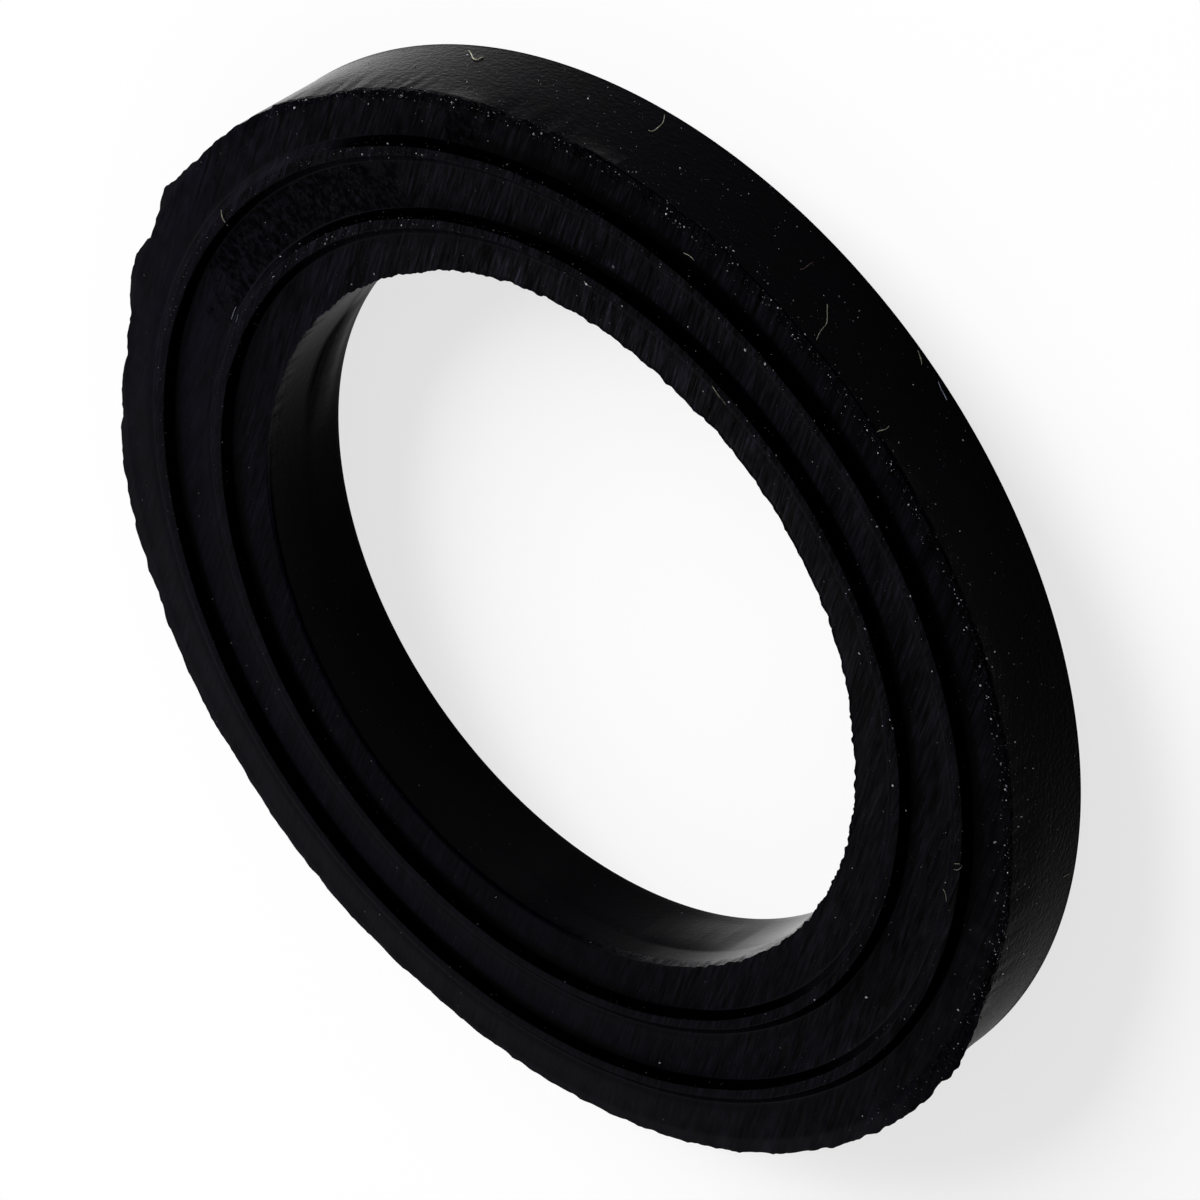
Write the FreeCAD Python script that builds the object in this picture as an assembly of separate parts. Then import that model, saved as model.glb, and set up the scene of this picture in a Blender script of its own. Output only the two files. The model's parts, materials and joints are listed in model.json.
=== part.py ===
"""Drain plug gasket: one moulded rubber ring with two raised sealing beads on its front face.

The ring lies on its flat back at z = 0, with the bore's axis along +Z and the beaded face up.
All lengths are in millimetres and all angles in degrees, counted from +X towards +Y.
"""
import FreeCAD, Part
import math
import os

# The ring's body. The front face is slightly crowned: it falls from the beads to both edges.
# The mould's draft makes the outer wall a little narrower at the back.
THICKNESS = 2.34
EDGE_FALL = 0.04
FACE_RADIUS = 12.3
BACK_RADIUS = 12.15
OUTER_EDGE_ROUND = 0.12

# The bore, made for a 16 mm threaded shank. A soft parting ridge runs round it below the straight
# front strip, and behind the ridge the bore widens to the back.
BORE_RADIUS = 8.1
STRIP_DEPTH = 1.0
RIDGE_DROP = 0.18
RIDGE_RADIUS = 8.07
BORE_BACK_RADIUS = 8.23
BORE_EDGE_ROUND = 0.08

# The two sealing beads. Each has a flat top with crisp edges, steep flanks and soft feet.
OUTER_BEAD_RADIUS = 11.07
INNER_BEAD_RADIUS = 9.41
BEAD_HEIGHT = 0.21
BEAD_TOP_HALF_WIDTH = 0.1125
BEAD_FOOT_HALF_WIDTH = 0.2375
BEAD_FOOT_ROUND = 0.22

# Mould flash left on the front outer edge, torn off in some stretches.
FLASH_REACH = 0.22
FLASH_ROOT = 0.16
FLASH_TIP = 0.05
FLASH_BITE = 0.1
LONG_FLASH = (38, 194)
NEAR_FLASH = (269, 308)
FIRST_TAG = (7, 14)
SECOND_TAG = (21, 29)

EDGE_HEIGHT = THICKNESS - EDGE_FALL
AXIS_POINT = FreeCAD.Vector(0, 0, 0)
AXIS = FreeCAD.Vector(0, 0, 1)


def at(radius, height):
    """A point of a section, in the plane y = 0."""
    return FreeCAD.Vector(radius, 0, height)


def straight(start, end):
    return Part.LineSegment(start, end).toShape()


def rounding(before, corner, after, radius):
    """The points where a rounding of the corner starts, passes its middle and ends."""
    back = (before - corner).normalize()
    onward = (after - corner).normalize()
    half_angle = back.getAngle(onward) / 2
    reach = radius / math.tan(half_angle)
    to_centre = (back + onward).normalize()
    middle = corner + to_centre * (radius / math.sin(half_angle) - radius)
    return corner + back * reach, middle, corner + onward * reach


def outline(corners):
    """A closed outline through (point, rounding radius) corners. A radius of 0 leaves a corner sharp."""
    edges, starts, ends = [], [], []
    for i, (point, radius) in enumerate(corners):
        before, after = corners[i - 1][0], corners[(i + 1) % len(corners)][0]
        if radius:
            start, middle, end = rounding(before, point, after, radius)
            edges.append(Part.Arc(start, middle, end).toShape())
        else:
            start = end = point
        starts.append(start)
        ends.append(end)
    edges += [straight(ends[i - 1], starts[i]) for i in range(len(corners))]
    return Part.Face(Part.Wire(Part.__sortEdges__(edges)))


def revolved(corners, start_angle, end_angle):
    """A section turned about the bore's axis between two angles."""
    solid = outline(corners).revolve(AXIS_POINT, AXIS, end_angle - start_angle)
    solid.rotate(AXIS_POINT, AXIS, start_angle)
    return solid


def bead(radius):
    """The corners of one bead, from its outer foot over the top to its inner foot."""
    crest = THICKNESS + BEAD_HEIGHT
    return [
        (at(radius + BEAD_FOOT_HALF_WIDTH, THICKNESS), BEAD_FOOT_ROUND),
        (at(radius + BEAD_TOP_HALF_WIDTH, crest), 0),
        (at(radius - BEAD_TOP_HALF_WIDTH, crest), 0),
        (at(radius - BEAD_FOOT_HALF_WIDTH, THICKNESS), BEAD_FOOT_ROUND),
    ]


def ring_section():
    """The corners of the ring's whole section: back, outer wall, front face with both beads, and bore."""
    back = [(at(BORE_BACK_RADIUS, 0), BORE_EDGE_ROUND), (at(BACK_RADIUS, 0), OUTER_EDGE_ROUND)]
    face = [(at(FACE_RADIUS, EDGE_HEIGHT), 0)]
    face += bead(OUTER_BEAD_RADIUS) + bead(INNER_BEAD_RADIUS)
    face += [(at(BORE_RADIUS, EDGE_HEIGHT), 0)]
    strip_end = EDGE_HEIGHT - STRIP_DEPTH
    bore = [(at(BORE_RADIUS, strip_end), 0), (at(RIDGE_RADIUS, strip_end - RIDGE_DROP), 0)]
    return back + face + bore


def flash(span):
    """One stretch of flash: a thin tapering fin that stands out level with the face's outer edge."""
    tip_radius = FACE_RADIUS + FLASH_REACH
    root_radius = FACE_RADIUS - FLASH_BITE
    fin = [
        (at(root_radius, EDGE_HEIGHT), 0),
        (at(root_radius, EDGE_HEIGHT - FLASH_ROOT), 0),
        (at(tip_radius, EDGE_HEIGHT - FLASH_TIP), 0),
        (at(tip_radius, EDGE_HEIGHT), 0),
    ]
    return revolved(fin, *span)


def gasket_ring():
    ring = revolved(ring_section(), 0, 360)
    fins = [flash(span) for span in (LONG_FLASH, NEAR_FLASH, FIRST_TAG, SECOND_TAG)]
    return ring.fuse(fins).removeSplitter()


def main():
    os.makedirs("parts", exist_ok=True)
    ring = gasket_ring()
    solid = ring.Solids[0]
    solid.exportStep("parts/gasket_ring.step")
    expected = math.pi * (FACE_RADIUS ** 2 - BORE_RADIUS ** 2) * THICKNESS
    print("solids", len(ring.Solids), "valid", solid.isValid(), "faces", len(solid.Faces))
    print("volume", round(solid.Volume, 2), "plain ring", round(expected, 2))


main()
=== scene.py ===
"""Drain plug gasket: a moulded black rubber ring with two sealing beads, torn flash, dust and lint.

The ring lies on its flat back at z = 0 with its beaded face up. Lengths are in metres.
"""
import json
import math
import random

import bmesh
import bpy
from bpy.props import FloatProperty, FloatVectorProperty, IntProperty, PointerProperty
from mathutils import Matrix, Vector, noise


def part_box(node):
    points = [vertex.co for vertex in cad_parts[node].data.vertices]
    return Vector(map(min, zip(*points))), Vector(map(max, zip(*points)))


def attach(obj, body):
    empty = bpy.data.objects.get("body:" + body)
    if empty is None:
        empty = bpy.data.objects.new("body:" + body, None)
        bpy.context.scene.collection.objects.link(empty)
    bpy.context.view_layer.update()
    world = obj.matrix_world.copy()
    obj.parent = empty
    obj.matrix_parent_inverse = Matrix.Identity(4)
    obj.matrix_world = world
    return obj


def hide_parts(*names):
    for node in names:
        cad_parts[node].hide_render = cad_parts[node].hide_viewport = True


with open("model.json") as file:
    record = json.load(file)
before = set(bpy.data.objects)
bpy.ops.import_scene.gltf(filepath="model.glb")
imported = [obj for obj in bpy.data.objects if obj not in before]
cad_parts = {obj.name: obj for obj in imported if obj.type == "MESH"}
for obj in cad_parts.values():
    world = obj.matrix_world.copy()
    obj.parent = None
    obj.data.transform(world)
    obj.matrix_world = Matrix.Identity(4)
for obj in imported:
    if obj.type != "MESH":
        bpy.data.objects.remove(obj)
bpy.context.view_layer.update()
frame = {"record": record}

bl_info = {
    "name": "Drain plug gasket",
    "version": (1, 0, 0),
    "blender": (4, 5, 0),
    "location": "3D View > Sidebar > Gasket",
    "description": "Builds a moulded rubber drain plug gasket with its torn flash, dust and lint",
    "category": "Add Mesh",
}

MM = 0.001
BODY = "root"
NODE = "gasket_ring"
RING = "moulded_ring"
BORE = next(mount for mount in frame["record"]["mounts"] if mount["name"] == "bore")
CREST_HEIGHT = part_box(NODE)[1].z
CREST_WEAR = 0.055 * MM

# The section: how finely its long edges are divided, and how far its corners are rounded.
SAME_PLACE = 0.002 * MM
SECTION_PITCH = 0.16 * MM
PLAIN_PITCH = 0.6 * MM
BACK_ROUND = 0.04 * MM
BORE_FRONT_ROUND = 0.1 * MM
RIDGE_ROUND = 0.13 * MM
CREST_ROUND = 0.034 * MM
TOE_SPREAD = 0.14 * MM
FOOT_SPREAD = 0.11 * MM
TOE_RISE = 0.021 * MM
CREST_FLAT = 0.088 * MM
CREST_CROWN = 0.0015 * MM
STRIP_DEPTH = 1.1 * MM
RIDGE_DROP = 0.14 * MM

# The front outer edge: how thick the flash is and how deep its tears reach into the wall.
LIP_DEPTH = 0.09 * MM
LIP_TIP = 0.04 * MM
TEAR_DEPTH = 0.7 * MM

# The torn outer edge of the front face: (angle in degrees, how far it stands out in mm).
TORN_EDGE = (
    (0, 0.00), (6, 0.00), (9, 0.07), (12.5, 0.19), (14.5, 0.13), (16, 0.05), (19.5, -0.03),
    (21.5, 0.07), (23, 0.16), (27, 0.11), (28.8, 0.07), (30, -0.04), (36, -0.04), (39, 0.05),
    (42, 0.07), (46, 0.16), (50, 0.21), (60, 0.23), (62, 0.21), (64.5, 0.13), (67, 0.18), (78, 0.18),
    (83, 0.09), (89, 0.13), (101, 0.11), (112, 0.06), (115, 0.04), (121, 0.09), (132, 0.15),
    (145, 0.25), (153, 0.29), (168, 0.30), (183, 0.28), (187, 0.25), (189, 0.20), (190.5, 0.26),
    (194, 0.22), (198, 0.08), (205, 0.00), (214, -0.03), (223, -0.11), (228, -0.05), (237, 0.01),
    (245, 0.03), (250, 0.01), (258, 0.03), (266, 0.04), (273, 0.09), (278, 0.06), (288, 0.08),
    (295, 0.10), (302, 0.06), (308, 0.03), (312, -0.02), (317, -0.06), (322, 0.02), (331, -0.02),
    (342, -0.10), (350, -0.02), (360, 0.00),
)
# The parting ridge in the bore: (angle in degrees, depth below the front edge in mm), then its swelling.
RIDGE_DEPTH = (
    (0, 1.50), (15, 1.54), (20, 1.32), (25, 1.24), (30, 1.20), (36, 1.22), (80, 1.00), (120, 0.85),
    (143, 0.70), (162, 0.71), (200, 0.90), (270, 1.15), (360, 1.50),
)
RIDGE_SWELL = (
    (0, 0.00), (13, 0.00), (18, 0.05), (22, 0.08), (28, 0.085), (33, 0.06), (40, 0.00), (142, 0.00),
    (147, 0.05), (153, 0.065), (158, 0.05), (162, 0.00), (360, 0.00),
)
# The bore's front edge, roughened where the mould closed: (angle in degrees, how far it opens in mm).
ROUGH_BORE = (
    (0, 0.0), (190, 0.03), (215, 0.03), (228, 0.0), (238, 0.08), (250, 0.12), (280, 0.13), (283, 0.03),
    (293, 0.03), (297, 0.06), (330, 0.07), (342, -0.02), (350, 0.0), (360, 0.0),
)
# How far the beads stray from their circles: (angle in degrees, outward shift in mm).
BEAD_DRIFT = (
    (0, -0.08), (15, -0.05), (30, 0.00), (150, 0.00), (180, 0.02), (195, -0.02), (210, -0.05),
    (240, -0.03), (270, 0.00), (300, -0.03), (325, -0.09), (340, -0.10), (360, -0.08),
)
# Small random waves added to these: (pitch in mm round the rim, seed, height in mm).
TORN_WAVES = ((0.35, 1.0, 0.05), (0.16, 2.0, 0.03))
LIFT_WAVES = ((0.5, 3.0, 0.02),)
BORE_WAVES = ((0.4, 4.0, 0.05), (0.17, 5.0, 0.04))
BEAD_WAVES = ((1.4, 6.0, 0.012), (0.4, 7.0, 0.006))
RIM_RADIUS = 12.3

# The rubber: the direction of the face's cut marks in degrees, the bump's depth, and the sheen.
MARK_DIRECTION = 114
BUMP_DEPTH = 0.006 * MM
SHEEN = 0.024
FACE_ROUGHNESS = 0.36
WALL_ROUGHNESS = 0.14
MATT_ROUGHNESS = 0.9
SMEAR_ROUGHNESS = 0.12

# Dust: the top of the dusty brink in mm, the size of the biggest grains in mm, and where they lie:
# (angle in degrees, radius in mm).
BRINK_TOP = 2.26
BIG_GRAIN = 0.034
BIG_GRAINS = (
    (297.1, 12.13), (302.1, 9.96), (305.1, 9.26), (282.7, 10.75), (279.9, 11.09), (242.9, 12.20),
    (240.8, 12.07), (188.6, 10.16), (147.2, 10.63), (222.6, 11.86),
)
# Lint fibres: the surface each lies on, its radius in mm, and its points. A point is an angle in degrees
# with a height in mm on the wall, or with a radius in mm on the face.
PALE_LINT = (
    ("wall", 0.018, ((331.1, .29), (330.0, .44), (329.1, .61), (328.5, .65), (328.3, .62), (328.3, .48))),
    ("wall", 0.009, ((306.4, .14), (306.0, .24), (305.6, .40), (305.5, .56), (305.4, .67), (305.5, .78),
                     (305.8, .78))),
    ("wall", 0.009, ((267.5, 1.86), (267.4, 1.98), (267.6, 2.10), (267.7, 2.21), (267.7, 2.27))),
    ("wall", 0.010, ((271.8, .09), (271.3, .13), (270.8, .18), (270.5, .23))),
    ("face", 0.010, ((283.3, 9.34), (282.6, 9.32), (281.9, 9.28), (281.4, 9.17), (280.7, 9.09))),
    ("face", 0.007, ((293.9, 11.57), (293.3, 11.62), (292.8, 11.63), (292.5, 11.61))),
    ("face", 0.004, ((217.9, 10.97), (218.3, 11.08), (218.2, 11.16), (217.7, 11.12), (217.2, 11.04),
                     (217.1, 10.96))),
    ("face", 0.006, ((212.7, 10.67), (212.5, 10.76), (212.1, 10.82), (211.9, 10.87))),
    ("face", 0.012, ((6.6, 11.15), (7.0, 11.05), (7.2, 10.95), (7.6, 10.84))),
    ("face", 0.009, ((305.5, 9.30), (305.2, 9.24), (304.6, 9.19))),
    ("wall", 0.011, ((213.6, .38), (213.4, .20))),
    ("wall", 0.006, ((280.3, 1.22), (279.7, 1.36), (279.0, 1.50), (278.7, 1.61), (278.6, 1.74),
                     (278.4, 1.91), (278.0, 2.07))),
)
WARM_LINT = (
    ("wall", 0.006, ((284.5, 1.15), (284.4, 1.06), (284.4, .97), (284.5, .81), (284.4, .75))),
    ("face", 0.005, ((16.4, 9.51), (16.7, 9.30), (17.0, 9.10))),
)
BLUE_LINT = (
    ("wall", 0.012, ((268.3, .12), (267.6, .17), (267.1, .17), (266.4, .19))),
    ("face", 0.010, ((17.6, 9.74), (18.8, 9.74), (19.9, 9.72))),
    ("face", 0.008, ((18.1, 9.60), (19.3, 9.56))),
)

# The studio: how bright the floor looks to the camera and in mirrors, the sky from the horizon up,
# and where the softbox and the camera stand.
BACKGROUND_LIFT = 0.70
MIRROR_LIFT = 0.19
HORIZON = 1.0
ZENITH = 0.08
SKY_FADE = (math.sin(math.radians(12)), math.sin(math.radians(52)))
SIDE_GAIN = 0.2
SOFTBOX_PLACE = (0.502, 0.134, 0.300)
SOFTBOX_WIDTH = 0.4
CAMERA_PLACE = Vector((-0.126, -206.65, 157.285)) * MM


class GasketSizes(bpy.types.PropertyGroup):
    """The ring's sizes."""

    bore_radius: FloatProperty(
        name="Bore radius", description="Radius of the straight strip at the bore's front edge",
        default=BORE["dims"]["r_mm"] * MM, unit="LENGTH")
    bore_back_radius: FloatProperty(
        name="Bore back radius", description="Radius of the bore at the back face",
        default=8.19 * MM, unit="LENGTH")
    face_radius: FloatProperty(
        name="Face radius", description="Outer radius at the front face, without flash",
        default=12.3 * MM, unit="LENGTH")
    back_radius: FloatProperty(
        name="Back radius", description="Outer radius at the back face",
        default=12.2 * MM, unit="LENGTH")
    land_height: FloatProperty(
        name="Land height", description="Height of the flat land between the beads",
        default=2.34 * MM, unit="LENGTH")
    edge_fall: FloatProperty(
        name="Edge fall", description="How far the front face falls from the beads to its edges",
        default=0.04 * MM, unit="LENGTH")
    crest_height: FloatProperty(
        name="Crest height", description="Height of the beads' crests above the back face",
        default=CREST_HEIGHT - CREST_WEAR, unit="LENGTH")
    outer_bead_radius: FloatProperty(
        name="Outer bead radius", description="Radius of the outer bead's middle",
        default=11.07 * MM, unit="LENGTH")
    inner_bead_radius: FloatProperty(
        name="Inner bead radius", description="Radius of the inner bead's middle",
        default=9.41 * MM, unit="LENGTH")
    bead_toe: FloatProperty(
        name="Bead toe", description="Half the width of the gentle rise a bead stands on",
        default=0.54 * MM, unit="LENGTH")
    bead_foot: FloatProperty(
        name="Bead foot", description="Half the width of a bead at its foot",
        default=0.215 * MM, unit="LENGTH")
    bead_top: FloatProperty(
        name="Bead top", description="Half the width of a bead at its top",
        default=0.125 * MM, unit="LENGTH")
    strip_end_radius: FloatProperty(
        name="Strip end radius", description="Radius of the bore where its front strip ends",
        default=8.14 * MM, unit="LENGTH")
    ridge_radius: FloatProperty(
        name="Ridge radius", description="Radius of the parting ridge inside the bore",
        default=8.135 * MM, unit="LENGTH")
    segments: IntProperty(
        name="Segments", description="Steps round the ring", default=768, min=24, max=2000)
    crumbs: IntProperty(
        name="Dust crumbs", description="Grains of dust on each dusty zone", default=150, min=0, max=2000)


class GasketColours(bpy.types.PropertyGroup):
    """The colours of the rubber and of what lies on it."""

    land: FloatVectorProperty(
        name="Face rubber", description="Colour of the cut-marked front face",
        subtype="COLOR", default=(0.00148, 0.00128, 0.0024))
    # Painted light: a bluer copy of the face colour for the face's far side, where the light rakes the face.
    far_land_light: FloatVectorProperty(
        name="Faded face rubber", description="Colour of the face's far side, where its marks are worn",
        subtype="COLOR", default=(0.0015, 0.00125, 0.0030))
    rim: FloatVectorProperty(
        name="Rim rubber", description="Colour of the torn near rim",
        subtype="COLOR", default=(0.0013, 0.0013, 0.0017))
    wall: FloatVectorProperty(
        name="Wall rubber", description="Colour of the smooth moulded walls",
        subtype="COLOR", default=(0.0003, 0.0003, 0.0008))
    # Painted light: the grey that the beads' flanks take where they turn away from -Y.
    flank_light: FloatVectorProperty(
        name="Bloom", description="Colour of the grey bloom on the beads' sheltered flanks",
        subtype="COLOR", default=(0.0044, 0.0041, 0.0058))
    film: FloatVectorProperty(
        name="Dust film", description="Colour of the fine dust in the rubber's marks",
        subtype="COLOR", default=(0.055, 0.055, 0.062))
    dust: FloatVectorProperty(
        name="Dust", description="Colour of the dust crumbs",
        subtype="COLOR", default=(0.26, 0.26, 0.29))
    pale_lint: FloatVectorProperty(
        name="Pale lint", description="Colour of the pale fibres",
        subtype="COLOR", default=(0.29, 0.28, 0.22))
    warm_lint: FloatVectorProperty(
        name="Warm lint", description="Colour of the warm fibres",
        subtype="COLOR", default=(0.09, 0.04, 0.045))
    blue_lint: FloatVectorProperty(
        name="Blue lint", description="Colour of the blue fibres",
        subtype="COLOR", default=(0.26, 0.28, 0.38))
    floor: FloatVectorProperty(
        name="Floor", description="Colour of the studio floor",
        subtype="COLOR", default=(0.80, 0.80, 0.80))


class GasketStudio(bpy.types.PropertyGroup):
    """The camera and the lamps."""

    elevation: FloatProperty(
        name="Camera elevation", description="How steeply the camera looks down",
        default=math.radians(37.09), unit="ROTATION")
    roll: FloatProperty(
        name="Camera roll", description="How far the camera is turned about its own line of sight",
        default=math.radians(-124.51), unit="ROTATION")
    lens: FloatProperty(name="Lens", description="Focal length in millimetres", default=371.9)
    softbox: FloatProperty(name="Softbox", description="Power of the side softbox in watts", default=5.1)


class Wire:
    """A socket of some shader nodes. Sums and products of wires add the Math nodes for them."""

    def __init__(self, shader, socket):
        self.shader = shader
        self.socket = socket

    def __add__(self, other):
        return self.shader.math("ADD", self, other)

    def __sub__(self, other):
        return self.shader.math("SUBTRACT", self, other)

    def __rsub__(self, other):
        return self.shader.math("SUBTRACT", other, self)

    def __mul__(self, other):
        return self.shader.math("MULTIPLY", self, other)

    def __pow__(self, other):
        return self.shader.math("POWER", self, other)

    __radd__ = __add__
    __rmul__ = __mul__


class Shader:
    """The nodes of one material or world."""

    def __init__(self, tree):
        self.nodes = tree.nodes
        self.links = tree.links
        self.nodes.clear()

    def node(self, kind, settings=None, inputs=None, output=0):
        """Adds a node, sets its settings and then its sockets, and returns one of its outputs."""
        node = self.nodes.new(kind)
        for name, value in (settings or {}).items():
            setattr(node, name, value)
        for name, value in (inputs or {}).items():
            if isinstance(value, Wire):
                self.links.new(value.socket, node.inputs[name])
            else:
                node.inputs[name].default_value = value
        if not node.outputs:
            return None
        return Wire(self, node.outputs[output])

    def math(self, operation, *values):
        return self.node("ShaderNodeMath", {"operation": operation}, dict(enumerate(values)))

    def step(self, value, low, high):
        """0 where value is under low, 1 over high, and smooth between. low may be the larger one."""
        return self.node("ShaderNodeMapRange", {"interpolation_type": "SMOOTHSTEP"},
                         {"Value": value, "From Min": low, "From Max": high})

    def within(self, value, centre, half_width, softness):
        """1 where value is within half_width of centre, fading out over softness."""
        away = self.math("ABSOLUTE", value - centre)
        return self.step(away, half_width + softness, half_width)

    def either(self, a, b):
        return self.math("MAXIMUM", a, b)

    def mix(self, factor, a, b):
        """A colour between a and b."""
        return self.node("ShaderNodeMix", {"data_type": "RGBA"}, {"Factor": factor, 6: a, 7: b}, output=2)

    def scaled(self, vector, factor):
        return self.node("ShaderNodeVectorMath", {"operation": "SCALE"}, {0: vector, "Scale": factor})

    def part(self, vector, axis):
        return self.node("ShaderNodeSeparateXYZ", None, {0: vector}, output=axis)

    def place(self, x, y, z):
        return self.node("ShaderNodeCombineXYZ", None, {"X": x, "Y": y, "Z": z})

    def grain(self, place, scale, detail=2.0, roughness=0.5):
        return self.node("ShaderNodeTexNoise", None,
                         {"Vector": place, "Scale": scale, "Detail": detail, "Roughness": roughness})

    def spots(self, place, scale, radius, share):
        """Round specks: in each cell a spot of the given radius, shown in a share of the cells."""
        cells = {"Vector": place, "Scale": scale, "Randomness": 1.0}
        distance = self.node("ShaderNodeTexVoronoi", {"feature": "F1"}, cells)
        tint = self.node("ShaderNodeTexVoronoi", {"feature": "F1"}, cells, output="Color")
        chance = self.node("ShaderNodeSeparateColor", None, {"Color": tint})
        shown = self.math("LESS_THAN", chance, share)
        return self.step(distance, radius * scale, radius * scale * 0.6) * shown


class Skin(Shader):
    """The nodes of the ring's own material, with its places in mm, its slopes and its zones."""

    def __init__(self, tree):
        super().__init__(tree)
        self.mm = self.scaled(self.node("ShaderNodeTexCoord", output="Object"), 1 / MM)
        self.x, self.y, self.z = [self.part(self.mm, axis) for axis in "XYZ"]
        self.radius = (self.x * self.x + self.y * self.y) ** 0.5
        normal = self.node("ShaderNodeNewGeometry", output="Normal")
        self.right, self.back, self.up = [self.part(normal, axis) for axis in "XYZ"]
        self.face = self.step(self.up, 0.8, 0.95)
        self.land = self.step(self.up, 0.95, 0.99)
        self.wall = self.step(self.up, 0.6, 0.3)
        self.bore = self.wall * self.step(self.radius, 8.7, 8.5)
        self.bore_brink = self.step(self.radius, 8.24, 8.17)
        self.inner_land = self.step(self.radius, 9.2, 9.0)
        self.outer_land = self.step(self.radius, 11.2, 11.4)
        self.near_side = self.step(self.y, 3.0, -3.0)
        self.near_rim = (self.within(self.radius, 12.26, 0.14, 0.25) * self.step(self.z, 1.6, 2.2)
                         * self.near_side)


def new_material(name, kind=Shader):
    material = bpy.data.materials.new(name)
    material.use_nodes = True
    return material, kind(material.node_tree)


def principled(shader, **inputs):
    named = {name.replace("_", " "): value for name, value in inputs.items()}
    return shader.node("ShaderNodeBsdfPrincipled", None, named)


def end(shader, lit):
    shader.node("ShaderNodeOutputMaterial", None, {"Surface": lit})


def opaque(colour):
    return (*colour, 1.0)


def between(points, angle):
    """The value at an angle, straight between the listed ones."""
    for (start, low), (end, high) in zip(points, points[1:]):
        if start <= angle <= end:
            return low + (high - low) * (angle - start) / (end - start)
    return points[-1][1]


def ramp(value, low, high):
    """0 under low, 1 over high, and smooth between."""
    share = min(max((value - low) / (high - low), 0.0), 1.0)
    return share * share * (3 - 2 * share)


def ripple(angle, waves):
    """Smooth random waves round the ring, added up. Each closes on itself."""
    total = 0.0
    for pitch, seed, height in waves:
        reach = RIM_RADIUS / pitch
        total += noise.noise(Vector((reach * math.cos(angle), reach * math.sin(angle), seed))) * height
    return total


def deselect():
    bpy.ops.object.select_all(action="DESELECT")


def edit():
    bpy.ops.object.mode_set(mode="EDIT")


def stop_editing():
    bpy.ops.object.mode_set(mode="OBJECT")


def choose(test, kind="VERT"):
    """Selects the vertices or edges of the edited mesh that pass the test."""
    bpy.ops.mesh.select_mode(type=kind)
    bpy.ops.mesh.select_all(action="DESELECT")
    mesh = bmesh.from_edit_mesh(bpy.context.object.data)
    for part in (mesh.verts if kind == "VERT" else mesh.edges):
        if test(part):
            part.select_set(True)
    mesh.select_flush_mode()
    bmesh.update_edit_mesh(bpy.context.object.data)


def same(a, b):
    return abs(a - b) < SAME_PLACE


def cut(place, direction):
    bpy.ops.mesh.select_all(action="SELECT")
    bpy.ops.mesh.bisect(plane_co=place, plane_no=direction, threshold=SAME_PLACE)


def round_off(test, offset, segments):
    choose(lambda vertex: test(vertex.co))
    bpy.ops.mesh.bevel(offset=offset, segments=segments, affect="VERTICES")


def pieces_of(edge, back_radius):
    """Into how many pieces an edge is cut: fewer on the back and the outer wall, which stay plain."""
    middle = (edge.verts[0].co + edge.verts[1].co) / 2
    plain = middle.z < 0.01 * MM or (middle.x > back_radius - 0.1 * MM and middle.z < 2 * MM)
    return math.ceil(edge.calc_length() / (PLAIN_PITCH if plain else SECTION_PITCH))


def divide_long_edges(back_radius):
    """Cuts the section's long edges into equal pieces."""
    mesh = bmesh.from_edit_mesh(bpy.context.object.data)
    counts = {pieces_of(edge, back_radius) for edge in mesh.edges}
    for count in sorted(counts - {1}, reverse=True):
        choose(lambda edge: pieces_of(edge, back_radius) == count, "EDGE")
        bpy.ops.mesh.subdivide(number_cuts=count - 1)


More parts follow.
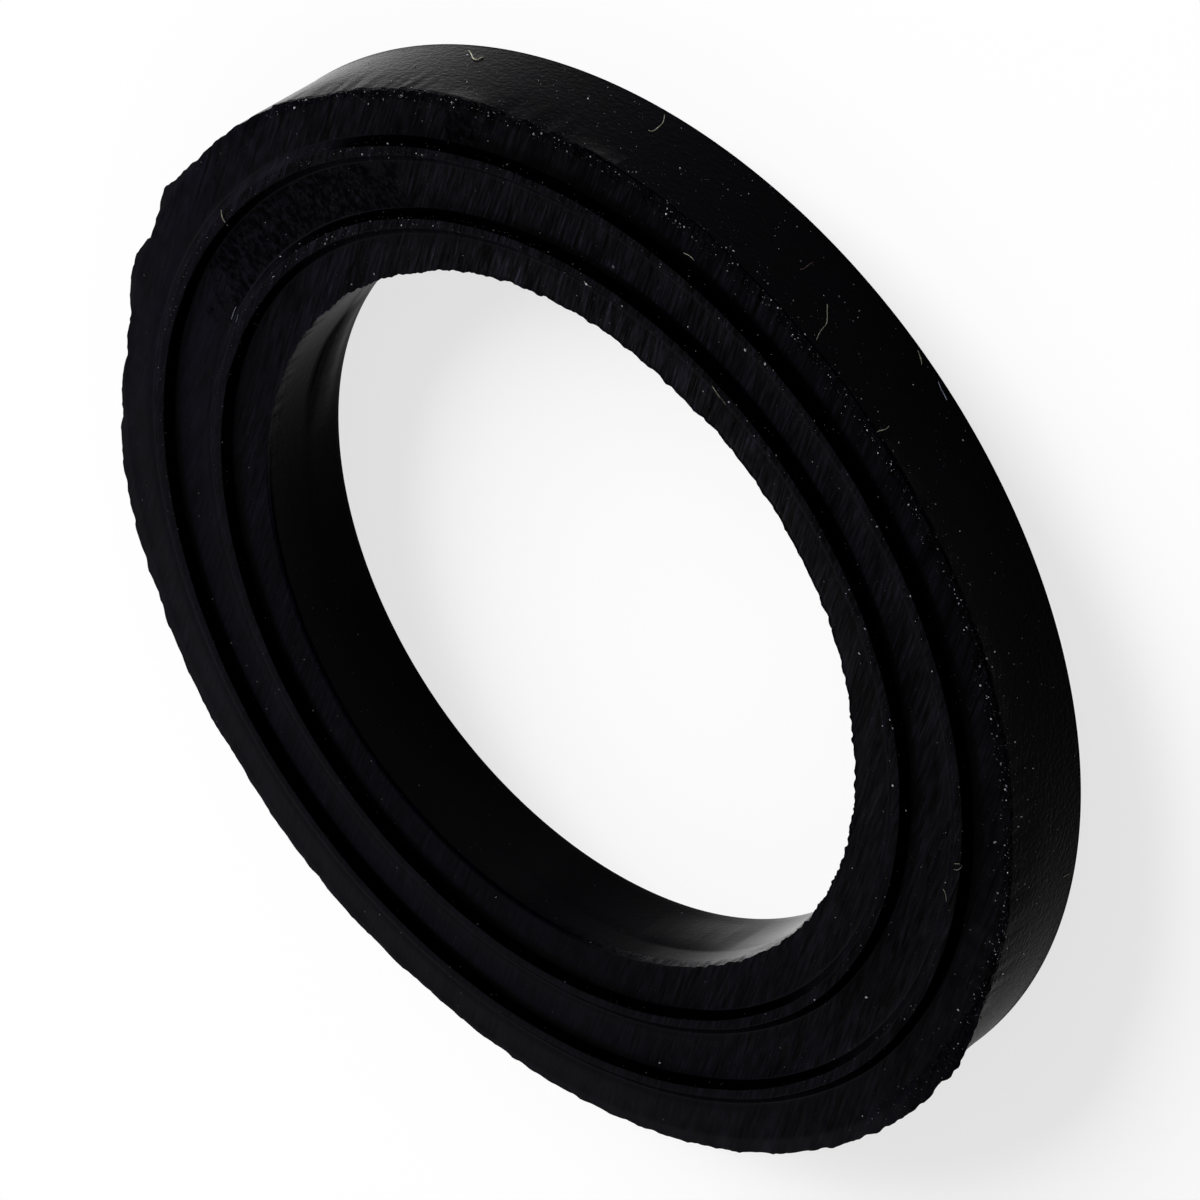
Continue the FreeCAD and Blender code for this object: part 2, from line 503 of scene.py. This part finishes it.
def draw_section(size):
    """Draws the outline of the ring's section in the plane y = 0."""
    width = size.face_radius - size.bore_radius
    middle = Vector((size.bore_radius + width / 2, 0, size.land_height / 2))
    edge_height = size.land_height - size.edge_fall
    beads = (size.outer_bead_radius, size.inner_bead_radius)
    deselect()
    bpy.ops.mesh.primitive_plane_add(size=1, location=middle, rotation=(math.pi / 2, 0, 0))
    bpy.ops.object.transform_apply(location=True, rotation=True, scale=True)
    edit()
    bpy.ops.transform.resize(value=(width, 1, size.land_height), center_override=middle)
    bpy.ops.mesh.delete(type="ONLY_FACE")

    # The beads stand up between their feet, and the face falls a little to its edges.
    for bead in beads:
        cut((bead, 0, 0), (1, 0, 0))
        for reach in (CREST_FLAT, size.bead_top, size.bead_foot, size.bead_toe):
            cut((bead - reach, 0, 0), (1, 0, 0))
            cut((bead + reach, 0, 0), (1, 0, 0))
    cut((size.face_radius - LIP_DEPTH, 0, 0), (1, 0, 0))

    def on_top(place):
        return same(place.z, size.land_height)

    def on_bead(place, reach):
        return any(abs(place.x - bead) < reach * 1.05 for bead in beads)

    choose(lambda vertex: on_top(vertex.co) and on_bead(vertex.co, size.bead_foot)
           and not on_bead(vertex.co, size.bead_top))
    bpy.ops.transform.translate(value=(0, 0, TOE_RISE))
    choose(lambda vertex: on_top(vertex.co) and on_bead(vertex.co, size.bead_top))
    bpy.ops.transform.translate(value=(0, 0, size.crest_height - size.land_height))
    choose(lambda vertex: same(vertex.co.z, size.crest_height) and on_bead(vertex.co, CREST_FLAT))
    bpy.ops.transform.translate(value=(0, 0, CREST_CROWN / 2))
    choose(lambda vertex: any(same(vertex.co.x, bead) for bead in beads) and vertex.co.z > size.land_height)
    bpy.ops.transform.translate(value=(0, 0, CREST_CROWN / 2))
    choose(lambda vertex: on_top(vertex.co) and vertex.co.x > size.face_radius - 1.1 * LIP_DEPTH)
    bpy.ops.transform.translate(value=(0, 0, -size.edge_fall))
    choose(lambda vertex: on_top(vertex.co) and same(vertex.co.x, size.bore_radius))
    bpy.ops.transform.translate(value=(0, 0, -size.edge_fall))

    # The walls: drafted outside, and inside a straight strip, a ridge and a widening back.
    choose(lambda vertex: same(vertex.co.x, size.face_radius) and vertex.co.z < MM)
    bpy.ops.transform.translate(value=(size.back_radius - size.face_radius, 0, 0))
    strip_end = edge_height - STRIP_DEPTH
    for height in (edge_height - LIP_TIP, edge_height - LIP_DEPTH, strip_end, strip_end - RIDGE_DROP):
        cut((0, 0, height), (0, 0, 1))
    for height, radius in ((0, size.bore_back_radius), (strip_end - RIDGE_DROP, size.ridge_radius),
                           (strip_end, size.strip_end_radius)):
        choose(lambda vertex: same(vertex.co.x, size.bore_radius) and same(vertex.co.z, height))
        bpy.ops.transform.translate(value=(radius - size.bore_radius, 0, 0))

    # Moulded edges are rounded, and the beads' tops and feet are softer still.
    round_off(lambda place: same(place.x, size.back_radius) and same(place.z, 0), BACK_ROUND, 4)
    round_off(lambda place: same(place.x, size.bore_back_radius) and same(place.z, 0), BACK_ROUND, 4)
    round_off(lambda place: same(place.x, size.bore_radius) and same(place.z, edge_height),
              BORE_FRONT_ROUND, 4)
    round_off(lambda place: same(place.z, strip_end - RIDGE_DROP), RIDGE_ROUND, 4)
    round_off(lambda place: same(place.z, size.crest_height) and not on_bead(place, CREST_FLAT),
              CREST_ROUND, 3)
    round_off(lambda place: same(place.z, size.land_height + TOE_RISE), FOOT_SPREAD, 4)
    round_off(on_top, TOE_SPREAD, 3)
    divide_long_edges(size.back_radius)
    stop_editing()
    return bpy.context.object


def turn(section, segments):
    """Turns a section about the ring's axis into a closed ring."""
    turned = section.modifiers.new("Turned", "SCREW")
    turned.axis = "Z"
    turned.angle = math.tau
    turned.steps = turned.render_steps = segments
    turned.use_merge_vertices = True
    turned.merge_threshold = 1e-7
    bpy.ops.object.modifier_apply(modifier=turned.name)
    edit()
    bpy.ops.mesh.select_all(action="SELECT")
    bpy.ops.mesh.normals_make_consistent(inside=False)
    stop_editing()
    return section


def roughen(ring, size):
    """Tears the flash, roughens the bore's front edge, tilts the parting ridge and waves the beads."""
    edge_height = size.land_height - size.edge_fall
    strip_end = edge_height - STRIP_DEPTH
    for vertex in ring.data.vertices:
        place = vertex.co
        radius = math.hypot(place.x, place.y)
        angle = math.atan2(place.y, place.x)
        degrees = math.degrees(angle) % 360
        outward = Vector((place.x, place.y, 0)) / radius

        torn = between(TORN_EDGE, degrees) + ripple(angle, TORN_WAVES)
        lip_depth = LIP_DEPTH if torn > 0 else TEAR_DEPTH
        lip = ramp(place.z, edge_height - lip_depth, edge_height - LIP_TIP)
        lip *= ramp(radius, size.face_radius - min(2.5 * lip_depth, MM), size.face_radius - 0.2 * LIP_TIP)
        place += outward * lip * torn * MM
        place.z += lip * ripple(angle, LIFT_WAVES) * MM

        teeth = 1 - 0.6 * ramp(place.y, 0, 4 * MM)
        rough = between(ROUGH_BORE, degrees) + ripple(angle, BORE_WAVES) * teeth
        brink = ramp(place.z, edge_height - 0.25 * MM, edge_height - 0.02 * MM)
        brink *= ramp(radius, size.bore_radius + 0.3 * MM, size.bore_radius + 0.04 * MM)
        place += outward * brink * rough * MM

        if radius < size.bore_back_radius + 0.02 * MM and 0 < place.z < edge_height - 0.01 * MM:
            drop = (strip_end - place.z) / MM
            rise = 1 - (1 - min(max(drop / 0.5, 0), 1)) ** 3
            swell = rise * ramp(drop, 1.15, 0.5) * between(RIDGE_SWELL, degrees)
            place -= outward * swell * MM
            sink = between(RIDGE_DEPTH, degrees) * MM - STRIP_DEPTH
            near_ridge = min(place.z / strip_end, (edge_height - place.z) / (edge_height - strip_end))
            place.z -= sink * near_ridge

        if place.z > edge_height:
            wave = ripple(angle, BEAD_WAVES) * ramp(place.z, size.land_height, size.crest_height)
            from_bead = min(abs(radius - size.outer_bead_radius), abs(radius - size.inner_bead_radius))
            drift = ramp(from_bead, 0.82 * MM, 0.6 * MM) * between(BEAD_DRIFT, degrees)
            place += outward * (wave + drift) * MM


def cut_marks(skin):
    """Straight marks that run across all the lands in one direction, and where they are deep."""
    direction = math.radians(MARK_DIRECTION)
    along = skin.x * math.cos(direction) + skin.y * math.sin(direction)
    across = skin.y * math.cos(direction) - skin.x * math.sin(direction)
    fine = skin.grain(skin.place(across, along * 0.07, 0.0), 14.0, 3.0, 0.65)
    broad = skin.grain(skin.place(across, along * 0.12, 3.0), 2.4, 2.0, 0.5)
    deep = skin.grain(skin.place(across, along * 0.12, 9.0), 6.5, 1.0, 0.4)
    scored = (1 + skin.inner_land * skin.step(skin.x, -4.0, -0.5) * skin.step(skin.x, 8.2, 7.0) * 0.5
              - skin.outer_land * 0.25)
    marks = (fine - 0.5) * (9.0 + 2.0 * skin.step(skin.x, 0.0, 5.0)) * scored + (broad - 0.5) * 3.6
    return marks, skin.step(deep, 0.60, 0.70)


def uncut_patches(skin):
    """Two dull patches of the face that were never cut clean, and their blotches."""
    wander = skin.grain(skin.mm, 1.6, 3.0, 0.6) - 0.5
    middle = (skin.within(skin.radius + wander * 0.5, 10.2, 0.55, 0.25) * skin.step(skin.x, 0, 1)
              * skin.within(skin.y + wander * 5.0, -0.35, 2.9, 1.2))
    small = (skin.within(skin.x + wander, 9.35, 0.3, 0.3)
             * skin.within(skin.y + wander, -6.75, 0.35, 0.3))
    whole = skin.step(skin.grain(skin.mm, 2.6, 3.0, 0.6), 0.30, 0.46)
    return skin.either(middle, small) * skin.land * whole, skin.grain(skin.mm, 5.5, 4.0, 0.7)


def bead_flanks(skin, size):
    """The beads' flanks and toes: painted shade, black where they face -Y, towards the camera; painted
    light, a grey tone where they turn away and where they face +X at the ring's +X end, on the softbox's
    side; and dull.
    """
    on_bead = skin.either(*[skin.within(skin.radius, bead / MM, 0.38, 0.28)
                            for bead in (size.outer_bead_radius, size.inner_bead_radius)])
    tilt = skin.math("SQRT", skin.either(1 - skin.up * skin.up, 0.0004))
    bearing = skin.math("DIVIDE", skin.back, tilt)
    sideways = skin.within(bearing, 0.0, 0.2, 0.3)
    tilted = on_bead * skin.step(skin.up, 0.9996, 0.9984)
    steep = on_bead * skin.step(skin.up + 0.035 * sideways, 0.994, 0.96)
    # Painted light on the flanks that turn away from -Y or face +X at the +X end, and painted shade, black,
    # on the flanks and toes that face -Y.
    lit_end = skin.step(skin.x, 9.6, 11.0) * skin.step(skin.right, 0.0, 0.2)
    flank_light_share = steep * skin.step(bearing + lit_end * 0.35, -0.15, 0.35)
    black = skin.either(tilted * skin.step(bearing, -0.2, -0.85), steep * (1 - flank_light_share) * 0.9)
    toes = skin.either(skin.step(bearing, 0.0, 0.5) * 0.4, skin.step(bearing, -0.75, -1.0) * 0.85)
    return flank_light_share, black, skin.either(steep, tilted * toes)


def dull_edges(skin, torn):
    """The torn lip, the ragged near rim, the bore's far brink and the underside of the flash."""
    lip = (skin.step(skin.radius, 12.28, 12.33) * skin.step(skin.up, 0.8, 0.5)
           * skin.step(skin.z, 2.1, 2.2) * skin.step(skin.y, 0.5, -2.5))
    ragged = (skin.step(skin.radius + torn * 0.08, 12.06, 12.18) * skin.step(skin.z, 2.16, 2.2)
              * skin.near_side * (0.55 + 0.4 * torn))
    far_brink = skin.bore_brink * skin.step(skin.y, 4.0, 6.5) * skin.step(skin.z, 2.20, 2.26)
    underside = skin.step(skin.up, -0.1, -0.3) * skin.step(skin.z, 2.1, 2.2)
    return skin.either(skin.either(lip, ragged), skin.either(far_brink, underside))


def painted_wall_shade(skin):
    """Matt stretches of the walls, two on the outside and a band in the bore: painted shade, since they lose
    their reflections and look darker.
    """
    left = skin.step(skin.x, -4.0, -11.0) * 0.28
    front = skin.step(skin.x, -4.5, 0.0) * skin.step(skin.y, -5.4, -9.0) * 0.38
    band = skin.step(skin.x, 0.0, -2.0) * skin.within(skin.y, 5.6, 0.9, 0.7) * 0.45
    return skin.either((skin.wall - skin.bore) * skin.either(left, front), skin.bore * band)


def dust_film(skin, torn):
    """Fine dust: thick on the torn near rim and along the bead crests, thin everywhere else."""
    crest = skin.step(skin.z, 2.40, 2.45)
    lit_end = skin.step(skin.x, 3.0, 9.0)
    share = (0.05 + skin.near_rim * 0.5 + crest * (0.25 + 0.75 * lit_end)
             + skin.near_side * (0.05 + 0.08 * skin.wall * lit_end))
    specks = skin.either(skin.spots(skin.mm, 5.0, 0.022, share),
                         skin.spots(skin.mm, 12.0, 0.013, share) * 0.5)
    crumbled = (skin.bore_brink * torn * skin.within(skin.z, 2.2, 0.05, 0.06)
                * skin.step(skin.y, 6.0, 2.0))
    pale_edge = skin.step(skin.radius, 12.2, 12.32) * skin.step(skin.z, 2.1, 2.2) * (1 - skin.near_side)
    thinned = specks * (1 - crest * (0.55 - 0.2 * lit_end))
    return skin.either(skin.either(thinned, crumbled * 0.35), pale_edge * 0.05)


def wall_ripples(skin):
    """The fine ripple of the moulded walls, strongest near the outer wall's two ends."""
    angle = skin.math("ARCTAN2", skin.y, skin.x)
    unrolled = skin.place(angle * RIM_RADIUS + skin.z * 0.8, skin.z * 1.3 - angle * 4.0, skin.radius * 0.3)
    ends = 1.2 * skin.step(skin.x, -3.0, -9.0) + 0.8 * skin.step(skin.x, 6.0, 9.0)
    depth = skin.wall * 2.2 - skin.bore * 1.2 + (skin.wall - skin.bore) * ends
    return skin.grain(unrolled, 8.0, 2.0, 0.5) * depth


def rubber(colours, size):
    """Black rubber: cut marks and mottling on the face, fine ripple on the walls, and dust in both."""
    material, skin = new_material("black rubber", Skin)
    marks, deep = cut_marks(skin)
    patch, blotches = uncut_patches(skin)
    flank_light_share, black, dull_bead = bead_flanks(skin, size)
    haze = skin.grain(skin.mm, 1.3, 3.0, 0.6) - 0.5
    torn = skin.step(skin.grain(skin.mm, 10.0, 3.0, 0.7), 0.44, 0.56)
    dusty = dust_film(skin, torn)

    # The cut marks fade towards the far side.
    marks_shown = skin.step(skin.y - 4.0 * skin.step(skin.x, -4.0, -10.0), 6.0, -2.0)
    contrast = skin.land * (1 - patch) * (0.37 + 0.63 * marks_shown)

    tone = skin.math("POWER", 2.0, marks * contrast + haze * 1.8
                     + skin.near_rim * skin.land * ((torn - 0.4) * 0.6 - 0.1)
                     + patch * ((blotches - 0.5) * 11.0 - 0.8))
    # The beads' flanks and toes that face -Y are made black: painted shade.
    tone = tone * (1 - deep * contrast * 0.8) * (1 - black * 0.97) * (1 + skin.x * 0.015)
    # Painted light: the face's far side takes the bluer copy of its colour, and the near side and much of
    # the inner land keep the plain one.
    near_land_share = skin.either(skin.near_side, skin.inner_land * 0.6)
    base = skin.mix(near_land_share, opaque(colours.far_land_light), opaque(colours.land))
    base = skin.mix(skin.near_rim * skin.step(skin.y, -2.5, -6.0) * 0.7, base, opaque(colours.rim))
    bare = skin.scaled(skin.mix(skin.face, opaque(colours.wall), base), tone)
    # Painted light: the flanks that turn away from -Y take a grey tone, brighter towards +X on the near
    # side.
    flank_light_tone = skin.math("POWER", 2.0, marks * 0.3 + haze * 1.5)
    flank_light = skin.scaled(colours.flank_light, flank_light_tone * (1 + skin.x * skin.near_side * 0.045))
    colour = skin.mix(dusty, skin.mix(flank_light_share, bare, flank_light), opaque(colours.film))

    height = contrast * (marks * 0.12 - deep * 0.5) + patch * blotches * 1.2 + wall_ripples(skin)
    bumped = skin.node("ShaderNodeBump", None, {"Strength": 1.0, "Distance": BUMP_DEPTH, "Height": height})

    dull_patch = patch * (0.35 + 0.5 * skin.step(blotches, 0.62, 0.40))
    matt_share = contrast * (0.2 - marks * 0.18)
    # The walls' matt stretches among these are painted shade.
    for dull in (dull_bead, dull_patch, dull_edges(skin, torn), painted_wall_shade(skin)):
        matt_share = skin.either(matt_share, dull)
    roughness = (FACE_ROUGHNESS - skin.wall * (FACE_ROUGHNESS - WALL_ROUGHNESS) + dusty * 0.3
                 + patch * 0.1)
    smear = skin.bore * skin.step(skin.x, -4.0, -6.5) * skin.step(skin.y, 4.0, 1.5) * 0.42
    satin = principled(skin, Base_Color=colour, Roughness=roughness, Normal=bumped,
                       Specular_IOR_Level=SHEEN, Coat_Weight=smear, Coat_Roughness=SMEAR_ROUGHNESS)
    matt = principled(skin, Base_Color=colour, Roughness=MATT_ROUGHNESS, Normal=bumped,
                      Specular_IOR_Level=0.0)
    end(skin, skin.node("ShaderNodeMixShader", None, {0: matt_share, 1: satin, 2: matt}))
    return material


def grains(colour):
    """Dull dust whose tone changes from grain to grain."""
    material, shader = new_material("dust")
    here = shader.node("ShaderNodeTexCoord", output="Object")
    tone = shader.step(shader.grain(here, 2600.0, 1.0), 0.3, 0.75)
    rough = shader.grain(here, 60000.0, 2.0)
    shade = shader.mix(tone, opaque([part * 0.25 for part in colour]),
                       opaque([part * 1.6 for part in colour]))
    end(shader, principled(shader, Base_Color=shade, Roughness=0.75 + rough * 0.2, Specular_IOR_Level=0.3))
    return material


def fibre(name, colour):
    """Lint: pale along its length with darker bands where it twists."""
    material, shader = new_material(name)
    here = shader.node("ShaderNodeTexCoord", output="Object")
    twist = shader.step(shader.grain(here, 9000.0, 2.0), 0.35, 0.7)
    shade = shader.mix(twist, opaque([part * 0.45 for part in colour]), opaque(colour))
    end(shader, principled(shader, Base_Color=shade, Roughness=0.65 + twist * 0.15, Specular_IOR_Level=0.35))
    return material


def finish_piece(piece, name, material):
    """Names a piece, gives it its material and ties it to the part."""
    piece.name = piece.data.name = name
    piece.data.materials.clear()
    piece.data.materials.append(material)
    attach(piece, BODY)
    return piece


class GASKET_OT_ring(bpy.types.Operator):
    """Builds the rubber ring"""

    bl_idname = "gasket.ring"
    bl_label = "Ring"

    def execute(self, context):
        size = context.scene.gasket_sizes
        ring = turn(draw_section(size), size.segments)
        roughen(ring, size)
        bpy.ops.object.shade_smooth_by_angle(angle=math.radians(38))
        finish_piece(ring, RING, rubber(context.scene.gasket_colours, size))
        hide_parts(NODE)
        return {"FINISHED"}


def join(pieces):
    """Joins pieces into one object."""
    deselect()
    for piece in pieces:
        piece.select_set(True)
    bpy.context.view_layer.objects.active = pieces[0]
    bpy.ops.object.join()
    return bpy.context.object


def surface_point(ring, zone, degrees, level):
    """The place and the normal on the ring, at a radius in mm on the face or a height in mm on the wall."""
    angle = math.radians(degrees)
    outward = Vector((math.cos(angle), math.sin(angle), 0))
    if zone == "face":
        start, direction = outward * level * MM + Vector((0, 0, 5 * MM)), Vector((0, 0, -1))
    else:
        start, direction = outward * 20 * MM + Vector((0, 0, level * MM)), -outward
    hit, place, normal, _ = ring.ray_cast(start, direction)
    return (place, normal) if hit else None


def make_crumb():
    """A lump of dust, one unit in radius."""
    deselect()
    bpy.ops.mesh.primitive_ico_sphere_add(subdivisions=2, radius=1)
    crumb = bpy.context.object
    for vertex in crumb.data.vertices:
        vertex.co *= 0.75 + 0.5 * noise.noise(vertex.co * 1.7)
    edit()
    bpy.ops.mesh.select_all(action="SELECT")
    bpy.ops.mesh.decimate(ratio=0.4)
    stop_editing()
    return crumb


def scatter(crumb, ring, zone, spots, name, material):
    """Copies the crumb to each spot, (degrees, level, radius in mm), and joins the copies."""
    chance = random.Random(name)
    pieces = []
    for degrees, level, size in spots:
        found = surface_point(ring, zone, degrees, level)
        if not found:
            continue
        place, normal = found
        piece = crumb.copy()
        piece.data = crumb.data.copy()
        bpy.context.collection.objects.link(piece)
        spin = chance.uniform(0, math.tau)
        turned = Matrix.Rotation(spin, 4, Vector([chance.gauss(0, 1) for _ in "xyz"]))
        stretch = Matrix.Diagonal((chance.uniform(0.7, 1.5), chance.uniform(0.7, 1.1), 0.7, 1))
        spot = Matrix.Translation(place + normal * size * 0.3 * MM)
        piece.data.transform(spot @ turned @ stretch @ Matrix.Scale(size * MM, 4))
        pieces.append(piece)
    return finish_piece(join(pieces), name, material)


def dust_size(chance):
    return 0.007 + 0.021 * chance.random() ** 4


def strewn(chance, count, angles, levels):
    """Random spots between two angles and two levels."""
    return [(chance.uniform(*angles), chance.uniform(*levels), dust_size(chance)) for _ in range(count)]


def gathered(chance, count, angles, level, spread):
    """Random spots between two angles, gathered about one level."""
    return [(chance.uniform(*angles), chance.gauss(level, spread), dust_size(chance)) for _ in range(count)]


class GASKET_OT_dust(bpy.types.Operator):
    """Strews dust on the rim, the beads, the wall and the face"""

    bl_idname = "gasket.dust"
    bl_label = "Dust"

    def execute(self, context):
        ring = bpy.data.objects[RING]
        size = context.scene.gasket_sizes
        material = grains(context.scene.gasket_colours.dust)
        crumb = make_crumb()
        chance = random.Random(7)
        many, few = size.crumbs, size.crumbs // 2
        beads = (size.outer_bead_radius / MM, size.inner_bead_radius / MM)

        rim = gathered(chance, many * 3, (200, 352), 12.2, 0.11)
        rim += gathered(chance, many // 6, (172, 200), 12.3, 0.15)
        brink = [spot for spot in gathered(chance, many, (196, 345), 2.1, 0.16) if spot[1] < BRINK_TOP]
        crests = [spot for bead in beads for spot in gathered(chance, few, (170, 375), bead, 0.09)]
        crests += [(degrees, level, radius / 2) for bead in beads
                   for degrees, level, radius in gathered(chance, few, (330, 396), bead, 0.06)]
        crests = [(degrees, level + between(BEAD_DRIFT, degrees % 360), radius)
                  for degrees, level, radius in crests]
        wall = strewn(chance, few, (205, 345), (0.1, 2.0)) + strewn(chance, few, (275, 335), (0.1, 2.0))
        lands = strewn(chance, few, (175, 370), (8.2, 12.2)) + strewn(chance, 12, (10, 170), (8.2, 12.2))
        lands += [(degrees, level, BIG_GRAIN) for degrees, level in BIG_GRAINS]
        for zone, spots, name in (("face", rim, "rim_dust"), ("wall", brink, "brink_dust"),
                                  ("face", crests, "crest_dust"), ("wall", wall, "wall_dust"),
                                  ("face", lands, "face_dust")):
            scatter(crumb, ring, zone, spots, name, material)
        bpy.data.objects.remove(crumb)
        return {"FINISHED"}


def lay_fibre(ring, zone, thickness, points):
    """Lays one fibre along its points on the ring, and returns it as a mesh."""
    deselect()
    bpy.ops.curve.primitive_nurbs_path_add()
    strand = bpy.context.object
    strand.data.splines.clear()
    spline = strand.data.splines.new("NURBS")
    found = [surface_point(ring, zone, *point) for point in points]
    spline.points.add(len(found) - 1)
    for point, (place, normal) in zip(spline.points, found):
        point.co = (*(place + normal * thickness * 1.1 * MM), 1)
        point.radius = 1.0
    spline.points[0].radius = spline.points[-1].radius = 0.6
    spline.use_endpoint_u = True
    spline.order_u = 3
    strand.data.resolution_u = 4
    strand.data.bevel_depth = thickness * MM
    strand.data.bevel_resolution = 1
    strand.data.use_fill_caps = True
    bpy.ops.object.convert(target="MESH")
    return bpy.context.object


def lay_lint(ring, fibres, name, material):
    """Lays fibres on the ring and joins them."""
    lint = join([lay_fibre(ring, *strand) for strand in fibres])
    bpy.ops.object.shade_smooth_by_angle(angle=math.radians(60))
    return finish_piece(lint, name, material)


class GASKET_OT_lint(bpy.types.Operator):
    """Lays the lint fibres on the face and the wall"""

    bl_idname = "gasket.lint"
    bl_label = "Lint"

    def execute(self, context):
        ring = bpy.data.objects[RING]
        colours = context.scene.gasket_colours
        for fibres, name, colour in ((PALE_LINT, "pale_lint", colours.pale_lint),
                                     (WARM_LINT, "warm_lint", colours.warm_lint),
                                     (BLUE_LINT, "blue_lint", colours.blue_lint)):
            lay_lint(ring, fibres, name, fibre(name.replace("_", " "), colour))
        return {"FINISHED"}


def lamp(name, place, width, power):
    """A square softbox that points at the ring."""
    turned = (-Vector(place)).to_track_quat("-Z", "Y").to_euler()
    bpy.ops.object.light_add(type="AREA", location=place, rotation=turned)
    light = bpy.context.object
    light.name = name
    light.data.size = width
    light.data.energy = power


def stage_floor(colours):
    """A pale floor that looks white to the camera and in mirrors, and keeps the ring's shadow."""
    deselect()
    bpy.ops.mesh.primitive_circle_add(vertices=96, radius=1.2, fill_type="NGON")
    floor = bpy.context.object
    floor.name = "floor"
    material, shader = new_material("studio floor")
    path = {kind: shader.node("ShaderNodeLightPath", output=kind)
            for kind in ("Is Camera Ray", "Is Glossy Ray", "Is Transmission Ray")}
    seen = path["Is Camera Ray"]
    mirrored = shader.either(path["Is Glossy Ray"], path["Is Transmission Ray"])
    place = shader.node("ShaderNodeTexCoord", output="Object")
    cloud = shader.grain(place, 14.0, 2.0, 0.5)
    colour = shader.mix(cloud, opaque(colours.floor), opaque([part * 0.985 for part in colours.floor]))
    lit = shader.node("ShaderNodeBsdfDiffuse", None, {"Color": shader.scaled(colour, 1 - seen * 0.6)})
    lift = seen * BACKGROUND_LIFT + mirrored * MIRROR_LIFT
    glow = shader.node("ShaderNodeEmission", None, {"Color": (1, 1, 1, 1), "Strength": lift})
    end(shader, shader.node("ShaderNodeAddShader", None, {0: lit, 1: glow}))
    floor.data.materials.append(material)


def studio_world(scene):
    """A pale surround: bright near the floor and on the softbox's side, and dimmer overhead."""
    scene.world = bpy.data.worlds.new("studio surround")
    scene.world.use_nodes = True
    shader = Shader(scene.world.node_tree)
    direction = shader.node("ShaderNodeTexCoord", output="Generated")
    high = shader.step(shader.part(direction, "Z"), *SKY_FADE)
    aside = shader.part(direction, "X")
    strength = (HORIZON - high * (HORIZON - ZENITH)) * (1 + aside * SIDE_GAIN)
    glow = shader.node("ShaderNodeBackground", None, {"Color": (1, 1, 1, 1), "Strength": strength})
    shader.node("ShaderNodeOutputWorld", None, {"Surface": glow})


class GASKET_OT_stage(bpy.types.Operator):
    """Adds the floor, the soft studio light and the camera"""

    bl_idname = "gasket.stage"
    bl_label = "Stage"

    def execute(self, context):
        scene = context.scene
        studio = scene.gasket_studio
        stage_floor(scene.gasket_colours)
        studio_world(scene)
        lamp("side softbox", SOFTBOX_PLACE, SOFTBOX_WIDTH, studio.softbox)
        tilted = Matrix.Rotation(math.pi / 2 - studio.elevation, 3, "X")
        rolled = Matrix.Rotation(studio.roll, 3, "Z")
        bpy.ops.object.camera_add(location=CAMERA_PLACE, rotation=(tilted @ rolled).to_euler())
        camera = context.object
        camera.data.lens = studio.lens
        camera.data.sensor_width = 36.0
        camera.data.clip_start = 0.01
        camera.data.clip_end = 5.0
        scene.camera = camera
        scene.view_settings.view_transform = "Standard"
        return {"FINISHED"}


class GASKET_PT_panel(bpy.types.Panel):
    """Lists what builds the gasket"""

    bl_idname = "GASKET_PT_panel"
    bl_label = "Gasket"
    bl_space_type = "VIEW_3D"
    bl_region_type = "UI"
    bl_category = "Gasket"

    def draw(self, context):
        for group in (context.scene.gasket_sizes, context.scene.gasket_colours, context.scene.gasket_studio):
            for name in group.__annotations__:
                self.layout.prop(group, name)
        for operator in OPERATORS:
            self.layout.operator(operator.bl_idname)


OPERATORS = (GASKET_OT_ring, GASKET_OT_dust, GASKET_OT_lint, GASKET_OT_stage)
CLASSES = (GasketSizes, GasketColours, GasketStudio, *OPERATORS, GASKET_PT_panel)


def register():
    for item in CLASSES:
        bpy.utils.register_class(item)
    bpy.types.Scene.gasket_sizes = PointerProperty(type=GasketSizes)
    bpy.types.Scene.gasket_colours = PointerProperty(type=GasketColours)
    bpy.types.Scene.gasket_studio = PointerProperty(type=GasketStudio)


def unregister():
    del bpy.types.Scene.gasket_studio
    del bpy.types.Scene.gasket_colours
    del bpy.types.Scene.gasket_sizes
    for item in reversed(CLASSES):
        bpy.utils.unregister_class(item)


def main():
    register()
    bpy.ops.gasket.ring()
    bpy.ops.gasket.dust()
    bpy.ops.gasket.lint()
    bpy.ops.gasket.stage()


if __name__ == "__main__":
    main()
